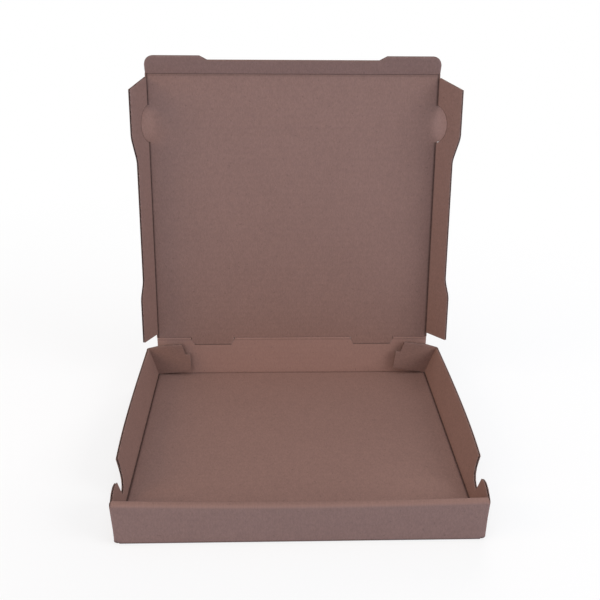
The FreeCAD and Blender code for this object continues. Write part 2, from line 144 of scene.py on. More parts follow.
@dataclass(frozen=True)
class BoxSizes:
    """The folded box's own sizes, in millimetres and degrees, as its solids have them."""

    half_width: float = 152.5
    half_depth: float = 151.0
    hinge_y: float = 152.25
    hinge_z: float = 45.5
    lid_lean: float = 4.7
    lid_crease: float = 151.8
    lid_length: float = 290.0
    crease_gap: float = 0.35
    left_fold: float = 69.0
    right_fold: float = 57.0
    front_fold: float = 27.0
    side_height: float = 34.0
    roll_top: float = 37.2
    lean_places: tuple[float, ...] = (-150.8, -95.0, -30.0, 150.7)
    left_leans: tuple[float, ...] = (3.0, 12.0, 17.3, 16.5)
    right_leans: tuple[float, ...] = (3.0, 14.5, 21.5, 20.0)
    ear_angle: float = 6.0
    moon_place: float = 240.0
    moon_radius: float = 19.3
    moon_reach: float = 16.0
    moon_gap: float = 0.6
    tab_inner: float = 69.0
    tab_width: float = 42.0
    tab_depth: float = 6.5
    tab_flare: float = 3.5

    def leans(self, side: int) -> tuple[float, ...]:
        """Give the outward leans of the left (-1) or right (1) side wall at the known places."""
        return self.left_leans if side < 0 else self.right_leans


def add_object(name: str, data: bpy.types.ID) -> bpy.types.Object:
    """Make an object and put it in the scene."""
    thing = bpy.data.objects.new(name, data)
    bpy.context.scene.collection.objects.link(thing)
    return thing


class MeshParts:
    """Collects closed shells of points and faces, with the marks that the paper's finish reads."""

    def __init__(self) -> None:
        """Start with no shells."""
        self.points: list[Array] = []
        self.faces: list[tuple[int, ...]] = []
        # crease is painted shade along creases and folds; tone is painted light on the rear wall and
        # round the half-moons.
        self.marks: dict[str, list[Array]] = {"crease": [], "rim": [], "core": [], "tone": []}
        self.lay: list[Array] = []
        self.count = 0

    def add(self, points: Array, faces: Array, lay: Array, **marks: Array) -> None:
        """Add one shell.

        Args:
            points: Its points in millimetres, one a row.
            faces: Rows of point numbers, counted from the shell's own first point.
            lay: Where each point lies on the flat sheet, in millimetres.
            marks: How much painted crease shade, cut rim or core each point has, from 0 to 1, and
            how much painted light makes it paler.
        """
        self.points.append(points)
        self.lay.append(lay)
        self.faces.extend(map(tuple, (faces + self.count).tolist()))
        for name, values in self.marks.items():
            values.append(np.broadcast_to(marks.get(name, 0.0), len(points)).astype(np.float32))
        self.count += len(points)

    def add_rod(self, sections: Array, along: Array, across: Array, **marks: Array) -> None:
        """Add a closed rod through sections that have the same number of points.

        Args:
            sections: The points of each section.
            along: Where each section lies along the flat sheet.
            across: Where each point of a section lies across it.
            marks: The marks of a section's points.
        """
        rows, around, _ = sections.shape
        row = np.arange(rows - 1)[:, None] * around
        faces = []
        for k in range(around):
            after = (k + 1) % around
            faces.append(np.hstack([row + k, row + after, row + around + after, row + around + k]))
        lay = as_points(np.repeat(along, around), np.tile(across, rows), 0.0)
        first = self.count
        last = first + (rows - 1) * around
        tiled = {name: np.tile(values, rows) for name, values in marks.items()}
        self.add(sections.reshape(-1, 3), np.vstack(faces), lay, **tiled)
        self.faces.append(tuple(range(first, first + around)))
        self.faces.append(tuple(range(last + around - 1, last - 1, -1)))

    def build(self, name: str, finish: bpy.types.Material) -> bpy.types.Object:
        """Make the object, with its normals outward and its marks stored on its points."""
        mesh = bpy.data.meshes.new(name)
        points = np.concatenate(self.points) * MM
        mesh.from_pydata(points.tolist(), [], self.faces)
        for key, values in self.marks.items():
            layer = mesh.attributes.new(key, "FLOAT", "POINT")
            layer.data.foreach_set("value", np.concatenate(values))
        layer = mesh.attributes.new("lay", "FLOAT_VECTOR", "POINT")
        layer.data.foreach_set("vector", np.concatenate(self.lay).astype(np.float32).ravel())
        shell = bmesh.new()
        shell.from_mesh(mesh)
        bmesh.ops.recalc_face_normals(shell, faces=shell.faces)
        shell.to_mesh(mesh)
        shell.free()
        mesh.shade_smooth()
        mesh.set_sharp_from_angle(angle=SHARP_ANGLE)
        mesh.materials.append(finish)
        return add_object(name, mesh)


def grid_faces(rows: int, columns: int, first: int = 0) -> Array:
    """Give the faces of a grid of points, four point numbers a face, from its first point's number."""
    i, j = np.meshgrid(np.arange(rows - 1), np.arange(columns - 1), indexing="ij")
    corner = (first + i * columns + j).ravel()
    return np.stack([corner, corner + 1, corner + columns + 1, corner + columns], axis=1)


def border(rows: int, columns: int) -> Array:
    """Give the point numbers round a grid's border, in order."""
    last = rows * columns
    bottom = np.arange(columns)
    right = np.arange(2 * columns - 1, last, columns)
    top = np.arange(last - 2, last - columns - 1, -1)
    left = np.arange(last - 2 * columns, 0, -columns)
    return np.concatenate([bottom, right, top, left])


def unit(angle: Array) -> tuple[Array, Array]:
    """Give the cosine and sine of an angle in degrees."""
    turned = np.radians(angle)
    return np.cos(turned), np.sin(turned)


def near_to(distance: Array, width: float) -> Array:
    """Fall from 1 at no distance to 0 a few widths away."""
    return np.exp(-((distance / width) ** 2))


def as_points(x: Array, y: Array, z: Array) -> Array:
    """Join coordinates to points, one a row, where some of them can be single numbers."""
    return np.stack(np.broadcast_arrays(x, y, z), axis=1).astype(float)


def flat_placer(corner: Array, u_way: Array, v_way: Array, n_way: Array) -> Placer:
    """Give the placer of a flat panel from its corner and its three directions."""

    def place(u: Array, v: Array, n: Array) -> Array:
        return corner + u[:, None] * u_way + v[:, None] * v_way + n[:, None] * n_way

    return place


@dataclass
class Layers:
    """A panel's heights and marks at points of the flat sheet."""

    top: Array
    low: Array
    paper: Array
    crease: Array
    rim: Array
    lift: Array


@dataclass
class BoardPanel:
    """A panel of corrugated board, laid out flat and then put in place.

    Attributes:
        board: The board that it is cut from.
        rows: Rows of (v, low u, high u) on the flat sheet. The flutes run along u.
        place: Turns u, v and n into points. n is the height above the board's middle.
        low: What the side at low u is.
        high: What the side at high u is.
        start: What the first row is.
        end: What the last row is.
        tab: A range of v where a ROUND side is cut instead.
        end_line: How dark the painted shade along a hinge crease is, on the first and last rows.
        tone: How much paler the upper paper is painted than the rest of the sheet, as painted light.
        swell: Gives how far each point of the flat sheet is lifted, from 0 to 1.
        swell_height: How many millimetres a full swell is.
        swell_painted_highlight: How much paler the paper is painted there, a painted highlight where the
            swell catches the light.
        offsets: How far inward from each side there are rows and columns of points.
    """

    board: Board
    rows: Sequence[Row]
    place: Placer
    low: Side = Side.CUT
    high: Side = Side.CUT
    start: Side = Side.PLAIN
    end: Side = Side.PLAIN
    tab: Optional[tuple[float, float]] = None
    end_line: float = 0.3
    tone: float = 0.0
    swell: Optional[Callable[[Array, Array], Array]] = None
    swell_height: float = 0.5
    swell_painted_highlight: float = 0.16
    offsets: tuple[float, ...] = (0.0, 0.15, 0.4, 0.8, 1.3, 2.2, 4.0, 7.0)

    def _grid(self, samples: int, reach: Array) -> tuple[Array, Array]:
        """Lay out points on the flat sheet, with so many rows in a flute and columns at those reaches."""
        given = np.array(self.rows, float)
        first, last = given[0, 0], given[-1, 0]
        step = self.board.pitch / samples
        inner = np.arange(math.ceil(first / step) * step, last, step)
        near = np.array([d for d in self.offsets if d < (last - first) / 2])
        v = np.concatenate([given[:, 0], inner, first + near, last - near])
        v = np.unique(np.round(v, 2))
        v = v[(v >= first - ROUNDING) & (v <= last + ROUNDING)]
        low = np.interp(v, given[:, 0], given[:, 1])
        high = np.interp(v, given[:, 0], given[:, 2])
        shrink = np.minimum((high - low) / (self.board.column_room * reach[-1]), 1.0)[:, None]
        u = np.hstack([low[:, None] + reach * shrink, high[:, None] - reach[::-1] * shrink])
        return u, np.repeat(v[:, None], u.shape[1], axis=1)

    def _sides(self, u: Array, v: Array) -> list[tuple[Side, Array, float]]:
        """Give each side's kind, every point's distance from it and how dark the painted shade of its
        crease is.
        """
        return [
            (self.low, u - u[:, :1], 1.0),
            (self.high, u[:, -1:] - u, 1.0),
            (self.start, v - v[0, 0], self.end_line),
            (self.end, v[-1, 0] - v, self.end_line),
        ]

    def _layers(self, u: Array, v: Array) -> Layers:
        """Give the panel's heights and marks at points of the flat sheet."""
        board = self.board
        crease, pressed, rim = np.zeros_like(u), np.zeros_like(u), np.zeros_like(u)
        squeeze = np.ones_like(u)
        for kind, distance, dark in self._sides(u, v):
            # Creases and hinge lines get painted shade; cut sides get rim wear.
            if kind in (Side.CREASE, Side.SCORE):
                share = board.score_share if kind is Side.SCORE else 1.0
                crease = np.maximum(crease, share * near_to(distance, board.line_width))
                pressed = np.maximum(pressed, share * near_to(distance, board.press_width))
            elif kind is Side.ROOT:
                crease = np.maximum(crease, dark * near_to(distance, board.line_width))
            elif kind is Side.CUT:
                rim = np.maximum(rim, near_to(distance, board.rim_width))
            elif kind is Side.ROUND:
                missing = np.clip(1 - distance / board.half, 0, 1)
                rolled = np.sqrt(np.clip(1 - missing**2, board.round_least, 1))
                line = dark * near_to(distance - board.round_place, board.round_width)
                if self.tab:
                    inside = (v > self.tab[0]) & (v < self.tab[1])
                    rolled = np.where(inside, 1.0, rolled)
                    line = np.where(inside, 0.0, line)
                    worn = np.maximum(rim, near_to(distance, board.rim_width))
                    rim = np.where(inside, worn, rim)
                squeeze = squeeze * rolled
                crease = np.maximum(crease, line)
        squeeze = squeeze * (1 - board.edge_squeeze * rim)
        wave = np.sin(2 * math.pi * v / board.pitch)
        lift = self.swell(u, v) if self.swell else np.zeros_like(u)
        raised = self.swell_height * lift
        top = board.half * squeeze - board.press_depth * pressed
        top = top - board.sink * (1 - wave) / 2 * squeeze + raised
        low = board.sink * (1 + wave) / 2 * squeeze - board.half * squeeze + raised
        return Layers(top, low, board.paper * squeeze, crease, rim, lift)

    def add_to(self, parts: MeshParts) -> None:
        """Add the two papers and the wavy paper between them."""
        board = self.board
        u, v = self._grid(board.paper_samples, np.array(self.offsets))
        at = self._layers(u, v)
        # paler is painted light: the panel's tone mark and a painted highlight round a swell.
        paler = self.tone + self.swell_painted_highlight * at.lift
        self._slab(parts, u, v, at.top, at.top - at.paper, crease=at.crease, rim=at.rim, tone=paler)
        self._slab(parts, u, v, at.low + at.paper, at.low, rim=at.rim)
        u, v = self._grid(board.wave_samples, np.unique(self.offsets[::3] + self.offsets[-1:]))
        at = self._layers(u, v)
        room = (at.top - at.low) / 2
        swing = np.maximum(room - at.paper - board.medium / 2, board.least_swing)
        middle = (at.top + at.low) / 2 + swing * np.sin(2 * math.pi * v / board.pitch)
        half = np.minimum(board.medium / 2, room / 3)
        u[:, 0] += board.core_inset
        u[:, -1] -= board.core_inset
        self._slab(parts, u, v, middle + half, middle - half, rim=at.rim, core=1.0)

    def _slab(self, parts: MeshParts, u: Array, v: Array, top: Array, low: Array, **marks: Array) -> None:
        """Add one paper as a closed slab between two heights."""
        rows, columns = u.shape
        deep = rows * columns
        over = grid_faces(rows, columns)
        under = grid_faces(rows, columns, deep)[:, ::-1]
        ring = border(rows, columns)
        after = np.roll(ring, -1)
        wall = np.stack([ring, ring + deep, after + deep, after], axis=1)
        flat_u, flat_v = (np.tile(a.ravel(), 2) for a in (u, v))
        height = np.concatenate([top.ravel(), low.ravel()])
        doubled = {key: np.tile(np.broadcast_to(m, u.shape).ravel(), 2) for key, m in marks.items()}
        points = self.place(flat_u, flat_v, height)
        parts.add(points, np.vstack([over, under, wall]), as_points(flat_u, flat_v, height), **doubled)


@dataclass
class Fold:
    """The crushed board in a fold between two panels.

    Attributes:
        board: The board that is folded.
        line: Points of the inner fold line, one a row.
        first: The unit normal of the first panel's inner face, one for all points or one a row.
        second: The same for the second panel.
        strength: How deep the pressed valley is and how dark its painted shade is, from 0 to 1.
        shade: How dark the painted shadow on the outer curve is, from 0 to 1.
        steps: How many flats the outer curve has.
    """

    board: Board
    line: Array
    first: Array
    second: Array
    strength: float = 1.0
    shade: float = 0.0
    steps: int = 7

    def add_to(self, parts: MeshParts) -> None:
        """Add a closed wedge with a pressed valley inside and a rounded paper outside."""
        first, second = (np.broadcast_to(way, self.line.shape) for way in (self.first, self.second))
        angle = np.arccos(np.clip(np.sum(first * second, axis=1), -1, 1))[:, None]
        depth = self.board.press_depth * self.strength
        ring = [self.line - depth * first, self.line - depth * second]
        for share in np.linspace(0.0, 1.0, self.steps + 1):
            turned = np.sin(share * angle) * first + np.sin((1 - share) * angle) * second
            ring.append(self.line - self.board.thickness * turned / np.sin(angle))
        lengths = np.linalg.norm(np.diff(self.line, axis=0), axis=1)
        along = np.concatenate([[0.0], np.cumsum(lengths)])
        # Painted shade: the pressed valley is painted dark by strength, the outer curve by shade.
        crease = [self.strength] * 2 + [self.shade] * (self.steps + 1)
        parts.add_rod(np.stack(ring, axis=1), along, np.zeros(len(ring)), crease=crease)


@dataclass
class CreasePaper:
    """The outer paper that runs unbroken over a crease that moves.

    Attributes:
        board: The board that it belongs to.
        axis: A point of the crease's axis.
        along: The unit direction along the axis.
        ahead: The unit direction from the first panel towards the crease.
        inner: The unit normal of the first panel's inner face.
        angle: How far the second panel is folded in at rest, in degrees.
        spans: Where the paper starts and ends along the axis.
        behind: How far it lies on the first panel.
        beyond: How far it lies on the second panel.
        proud: How far it stands out from the board.
        depth: How much of the paper's thickness it goes inward.
        scuff: How worn it is over the crease.
        arc_step: The most degrees that one flat of its curve turns.
        step: How far apart its sections are.
    """

    board: Board
    axis: Array
    along: Array
    ahead: Array
    inner: Array
    angle: float
    spans: Sequence[tuple[float, float]]
    behind: tuple[float, ...] = (-2.2, -1.6, -1.1, -0.7, -0.35)
    beyond: tuple[float, ...] = (0.4, 0.8, 1.2, 1.6, 2.0, 2.7)
    proud: float = 0.03
    depth: float = 0.8
    scuff: float = 0.5
    arc_step: float = 9.0
    step: float = 6.0

    def profile(self, radius: float) -> Array:
        """Give the paper's section at a radius from the axis, as steps ahead and inward."""
        flat = [(a, -radius) for a in self.behind]
        turns = np.radians(np.linspace(0.0, self.angle, 1 + math.ceil(self.angle / self.arc_step)))
        arc = [(radius * math.sin(t), -radius * math.cos(t)) for t in turns]
        cos, sin = unit(self.angle)
        straight = [(arc[-1][0] + w * cos, arc[-1][1] + w * sin) for w in self.beyond]
        return np.array(flat + arc + straight)

    def build(self, name: str, finish: bpy.types.Material, first: str, second: str) -> bpy.types.Object:
        """Make the paper.

        Args:
            name: The piece's name.
            finish: The paper's material.
            first: The body of the first panel; not used.
            second: The body of the second panel; not used.

        Returns:
            The piece.
        """
        outer = self.profile(self.board.half + self.proud)
        inside = self.profile(self.board.half - self.board.paper * self.depth)
        section = np.vstack([outer, inside[::-1]])
        bend = len(self.behind) - 1
        straight = len(outer) - len(self.beyond)
        rim = np.zeros(len(section))
        rim[bend : straight + 1] = self.scuff
        # The paper's inner face in the fold is painted dark: painted shade.
        crease = np.zeros(len(section))
        crease[len(outer) :] = 1.0
        offsets = section[:, :1] * self.ahead + section[:, 1:] * self.inner
        parts = MeshParts()
        for low, high in self.spans:
            cuts = np.append(np.arange(low, high, self.step), high)
            rings = self.axis + cuts[:, None, None] * self.along + offsets
            parts.add_rod(rings, cuts, section[:, 0], rim=rim, crease=crease)
        piece = parts.build(name, finish)
        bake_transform(piece)
        return piece


class NodeGraph:
    """A short way to add and join shader nodes."""

    def __init__(self, tree: bpy.types.NodeTree) -> None:
        """Work on one node tree."""
        self.tree = tree

    @classmethod
    def afresh(cls, owner: bpy.types.ID) -> "NodeGraph":
        """Empty the nodes of a material or a world and work on them."""
        owner.use_nodes = True
        owner.node_tree.nodes.clear()
        return cls(owner.node_tree)

    def add(self, kind: str, **settings: object) -> bpy.types.Node:
        """Add a node.

        Args:
            kind: The node's Blender type.
            settings: Its properties, or its inputs where the name starts with in_.

        Returns:
            The node.
        """
        node = self.tree.nodes.new(kind)
        for name, value in settings.items():
            if name.startswith("in_"):
                key = name[3:]
                self.feed(node, int(key) if key.isdigit() else key.replace("_", " "), value)
            else:
                setattr(node, name, value)
        return node

    def feed(self, node: bpy.types.Node, key: Union[int, str], value: Value) -> None:
        """Set a node's input to a value or join it to a socket."""
        if isinstance(value, bpy.types.NodeSocket):
            self.tree.links.new(value, node.inputs[key])
        else:
            node.inputs[key].default_value = value

    def math(self, operation: str, *values: Value, clamp: bool = False) -> Socket:
        """Add a Math node and give its result."""
        node = self.add("ShaderNodeMath", operation=operation, use_clamp=clamp)
        for key, value in enumerate(values):
            self.feed(node, key, value)
        return node.outputs[0]

    def total(self, first: Value, *others: Value) -> Socket:
        """Add values up."""
        for value in others:
            first = self.math("ADD", first, value)
        return first

    def times(self, first: Value, second: Value, clamp: bool = False) -> Socket:
        """Multiply two values."""
        return self.math("MULTIPLY", first, second, clamp=clamp)

    def blend(self, amount: Value, first: Value, second: Value, kind: str = "MIX") -> Socket:
        """Mix two colours and give the result."""
        node = self.add("ShaderNodeMix", data_type="RGBA", blend_type=kind)
        self.feed(node, 0, amount)
        self.feed(node, 6, first)
        self.feed(node, 7, second)
        return node.outputs[2]

    def ramp(self, value: Value, low: float, high: float, start: float = 0.0, end: float = 1.0) -> Socket:
        """Map a range of values to another, held at its ends."""
        node = self.add("ShaderNodeMapRange", clamp=True)
        for key, part in enumerate((value, low, high, start, end)):
            self.feed(node, key, part)
        return node.outputs[0]

    def noise(self, where: Value, scale: float, detail: float = 2.0, rough: float = 0.5) -> Socket:
        """Add a noise texture and give its value."""
        node = self.add("ShaderNodeTexNoise", in_Scale=scale, in_Detail=detail, in_Roughness=rough)
        self.feed(node, "Vector", where)
        return node.outputs[0]

    def seen(self) -> Socket:
        """Give 1 to the camera, also by way of a mirror or glass, and 0 to the light in the room."""
        path = self.add("ShaderNodeLightPath")
        direct = self.math("MAXIMUM", path.outputs["Is Camera Ray"], path.outputs["Is Glossy Ray"])
        return self.math("MAXIMUM", direct, path.outputs["Is Transmission Ray"])


class EffectGroup:
    """A shader node group that gives values out, while it is being built."""

    KINDS = {1: "NodeSocketFloat", 3: "NodeSocketVector"}

    def __init__(self, name: str, **inputs: Value) -> None:
        """Start the group with its inputs' names and default values."""
        self.tree = bpy.data.node_groups.new(name, "ShaderNodeTree")
        self.graph = NodeGraph(self.tree)
        for key, value in inputs.items():
            kind = self.KINDS[len(value) if isinstance(value, tuple) else 1]
            socket = self.tree.interface.new_socket(key, in_out="INPUT", socket_type=kind)
            socket.default_value = value
        self.given = self.graph.add("NodeGroupInput").outputs

    def finish(self, **outputs: Socket) -> bpy.types.NodeTree:
        """Give the group its outputs, all of them single values."""
        for key in outputs:
            self.tree.interface.new_socket(key, in_out="OUTPUT", socket_type="NodeSocketFloat")
        result = self.graph.add("NodeGroupOutput")
        for key, value in outputs.items():
            self.graph.feed(result, key, value)
        return self.tree


@dataclass(frozen=True)
class PaperEffects:
    """The node groups of the paper's looks. Its scales are waves a millimetre."""

    cloud_scale: float = 0.018
    blotch_scale: float = 0.11
    cloud_share: float = 0.6
    fibre_scale: float = 0.5
    fine_scale: float = 1.5
    fibre_share: float = 0.7
    fibre_stretch: tuple[float, float, float] = (1.7, 0.75, 1.0)
    speck_scale: float = 0.42
    speck_edges: tuple[float, float] = (0.80, 0.84)
    drift_scale: float = 0.02
    drift_turns: float = 0.25
    uneven_scale: float = 0.05
    uneven_edges: tuple[float, float] = (0.35, 0.65)
    uneven_least: float = 0.25
    break_scale: float = 0.25
    break_edges: tuple[float, float] = (0.25, 0.7)
    break_least: float = 0.7
    scuff_scale: float = 0.6
    scuff_edges: tuple[float, float] = (0.42, 0.6)

    def pulp(self) -> bpy.types.NodeTree:
        """Recycled pulp: cloudy tone, long fibres and sparse specks."""
        group = EffectGroup("recycled_pulp", Lay=(0.0, 0.0, 0.0), Cloud=0.1, Fibre=0.1, Speck=0.5)
        g, given = group.graph, group.given
        lay = given["Lay"]
        cloud = g.noise(lay, self.cloud_scale, detail=3.0, rough=0.6)
        blotch = g.noise(lay, self.blotch_scale, detail=3.0, rough=0.55)
        long_way = g.add("ShaderNodeMapping", in_Scale=self.fibre_stretch, in_Vector=lay)
        fibre = g.noise(long_way.outputs[0], self.fibre_scale, detail=4.0, rough=0.72)
        fine = g.noise(lay, self.fine_scale, detail=3.0, rough=0.7)
        cloudy = g.total(g.times(cloud, self.cloud_share), g.times(blotch, 1 - self.cloud_share))
        cloudy = g.times(g.math("SUBTRACT", cloudy, 0.5), given["Cloud"])
        fibres = g.total(g.times(fibre, self.fibre_share), g.times(fine, 1 - self.fibre_share))
        fibrous = g.times(g.math("SUBTRACT", fibres, 0.5), given["Fibre"])
        speck = g.ramp(g.noise(lay, self.speck_scale, detail=0.0, rough=0.0), *self.speck_edges)
        return group.finish(
            Tone=g.total(cloudy, fibrous),
            Speck=g.times(speck, given["Speck"]),
            Height=fibres,
        )

    def flutes(self) -> bpy.types.NodeTree:
        """The faint washboard that the flutes press through the paper: its relief, and painted shade
        along its waves.
        """
        group = EffectGroup("washboard", Lay=(0.0, 0.0, 0.0), Pitch=6.4, Depth=0.03)
        g, given = group.graph, group.given
        split = g.add("ShaderNodeSeparateXYZ", in_0=given["Lay"])
        drift = g.noise(given["Lay"], self.drift_scale, detail=1.0)
        turns = g.math("DIVIDE", split.outputs[1], given["Pitch"])
        turns = g.total(turns, g.times(drift, self.drift_turns))
        uneven = g.noise(given["Lay"], self.uneven_scale)
        uneven = g.ramp(uneven, *self.uneven_edges, start=self.uneven_least)
        wave = g.times(g.math("SINE", g.times(turns, 2 * math.pi)), uneven)
        return group.finish(Shade=g.times(wave, given["Depth"]), Height=wave)

    def crease_shade_and_wear(self) -> bpy.types.NodeTree:
        """Where creases get painted shade and cut rims are scuffed."""
        group = EffectGroup("fold_shade_and_wear", Lay=(0.0, 0.0, 0.0), Crease=0.0, Rim=0.0)
        g, given = group.graph, group.given
        broken = g.noise(given["Lay"], self.break_scale, detail=3.0)
        broken = g.ramp(broken, *self.break_edges, start=self.break_least)
        patchy = g.noise(given["Lay"], self.scuff_scale, detail=3.0)
        patchy = g.ramp(patchy, *self.scuff_edges)
        return group.finish(
            # Dark is painted crease shade, broken up by noise.
            Dark=g.times(given["Crease"], broken, clamp=True),
            Scuff=g.times(given["Rim"], patchy, clamp=True),
        )


@dataclass(frozen=True)
class KraftPaper:
    """Unprinted brown paper, as the box's panels show it."""

    name: str = "kraft_paper"
    colour: Colour = (0.242, 0.142, 0.118, 1.0)
    # The colour of the painted shade in creases and folds.
    dark: Colour = (0.035, 0.017, 0.014, 1.0)
    scuffed: Colour = (0.34, 0.235, 0.205, 1.0)
    speck: Colour = (0.05, 0.03, 0.028, 1.0)
    core: Colour = (0.22, 0.138, 0.114, 1.0)
    crease_shade_strength: float = 0.92
    scuff_strength: float = 0.5
    speck_strength: float = 0.22
    cloud: float = 0.18
    fibre: float = 0.95
    # Painted shade along the flute ridges.
    washboard: float = 0.008
    fibre_relief: float = 0.3
    flute_relief: float = 0.2
    bump_strength: float = 0.25
    bump_metres: float = 0.0004
    fibre_span: tuple[float, float] = (0.2, 0.8)
    rough_span: tuple[float, float] = (0.81, 0.94)
    specular: float = 0.22

    def build(self, effects: PaperEffects) -> bpy.types.Material:
        """Make the material from the shared looks of paper."""
        material = bpy.data.materials.new(self.name)
        g = NodeGraph.afresh(material)
        lay = g.add("ShaderNodeAttribute", attribute_name="lay").outputs["Vector"]
        # pale reads the tone mark, which is painted light.
        crease, rim, core, pale = (
            g.add("ShaderNodeAttribute", attribute_name=key).outputs["Fac"]
            for key in ("crease", "rim", "core", "tone")
        )
        amounts = {"in_Cloud": self.cloud, "in_Fibre": self.fibre, "in_Speck": self.speck_strength}
        pulp = g.add("ShaderNodeGroup", node_tree=effects.pulp(), in_Lay=lay, **amounts).outputs
        wave = g.add("ShaderNodeGroup", node_tree=effects.flutes(), in_Lay=lay, in_Depth=self.washboard)
        # worn gives the painted crease shade and the real rim scuffs.
        worn = g.add("ShaderNodeGroup", node_tree=effects.crease_shade_and_wear(), in_Lay=lay)
        g.feed(worn, "Crease", crease)
        g.feed(worn, "Rim", rim)
        # One factor from the pulp's own tone, painted flute shade and painted light.
        tone = g.total(pulp["Tone"], wave.outputs["Shade"], 1.0, pale)
        colour = g.blend(1.0, self.colour, tone, "MULTIPLY")
        colour = g.blend(pulp["Speck"], colour, self.speck)
        colour = g.blend(core, colour, self.core)
        colour = g.blend(g.times(worn.outputs["Scuff"], self.scuff_strength), colour, self.scuffed)
        # Painted shade in the creases and folds.
        colour = g.blend(g.times(worn.outputs["Dark"], self.crease_shade_strength), colour, self.dark)
        height = g.times(pulp["Height"], self.fibre_relief)
        height = g.total(height, g.times(wave.outputs["Height"], self.flute_relief))
        bump = g.add("ShaderNodeBump", in_Strength=self.bump_strength, in_Distance=self.bump_metres)
        g.feed(bump, "Height", height)
        rough = g.ramp(pulp["Height"], *self.fibre_span, *self.rough_span)
        shader = g.add("ShaderNodeBsdfPrincipled", in_Base_Color=colour, in_Roughness=rough)
        g.feed(shader, "Normal", bump.outputs[0])
        g.feed(shader, "Specular IOR Level", self.specular)
        g.add("ShaderNodeOutputMaterial", in_Surface=shader.outputs[0])
        return material


@dataclass(frozen=True)
class FingerNotch:
    """A side wall's finger notch and the tooth in front of it, in millimetres along and up the wall.

    Attributes:
        rear: Where the notch ends.
        width: How long it is.
        floor: How high its lowest place is.
        rise: How far its rear climbs.
        tooth_slope: How far the tooth's rear edge runs.
        tooth_height: How high the tooth's tip is.
        shoulder_run: How far the shoulder in front of it runs.
        shoulder_rise: How far the shoulder climbs.
        shoulder: The shoulder's shape, as shares of its run and rise.
        knee: Where the tooth's rear edge bends, as shares of its run and rise.
        curve: The shape of the notch's rear, as shares of the width and the rise.
    """

    rear: float
    width: float
    floor: float
    rise: float
    tooth_slope: float
    tooth_height: float
    shoulder_run: float
    shoulder_rise: float
    shoulder: tuple[tuple[float, float], ...] = ((1.0, 1.0), (0.5, 0.71), (0.22, 0.37), (0.0, 0.0))
    knee: tuple[float, float] = (0.35, 0.3)
    curve: tuple[tuple[float, float], ...] = (
        (0.75, 0.015), (0.5, 0.09), (0.28, 0.24), (0.13, 0.48), (0.05, 0.75), (0.0, 1.0),
    )

    def levels(self) -> list[tuple[float, float]]:
        """Give the wall's height at places along it, from the front to the notch's rear."""
        pit = self.rear - self.width
        tip = pit - self.tooth_slope
        climb = self.tooth_height - self.floor
        steps = [
            (tip - run * self.shoulder_run, self.tooth_height + share * self.shoulder_rise)
            for run, share in self.shoulder
        ]
        steps.append((pit - self.knee[0] * self.tooth_slope, self.floor + self.knee[1] * climb))
        steps.append((pit, self.floor))
        for run, share in self.curve:
            steps.append((self.rear - run * self.width, self.floor + share * self.rise))
        return steps


LEFT_NOTCH = FingerNotch(
    rear=-78.6, width=21.4, floor=12.3, rise=22.3,
    tooth_slope=5.8, tooth_height=28.8, shoulder_run=24.0, shoulder_rise=5.7,
)
RIGHT_NOTCH = FingerNotch(
    rear=-78.4, width=26.0, floor=16.2, rise=18.6,
    tooth_slope=4.3, tooth_height=30.7, shoulder_run=23.0, shoulder_rise=5.0,
)


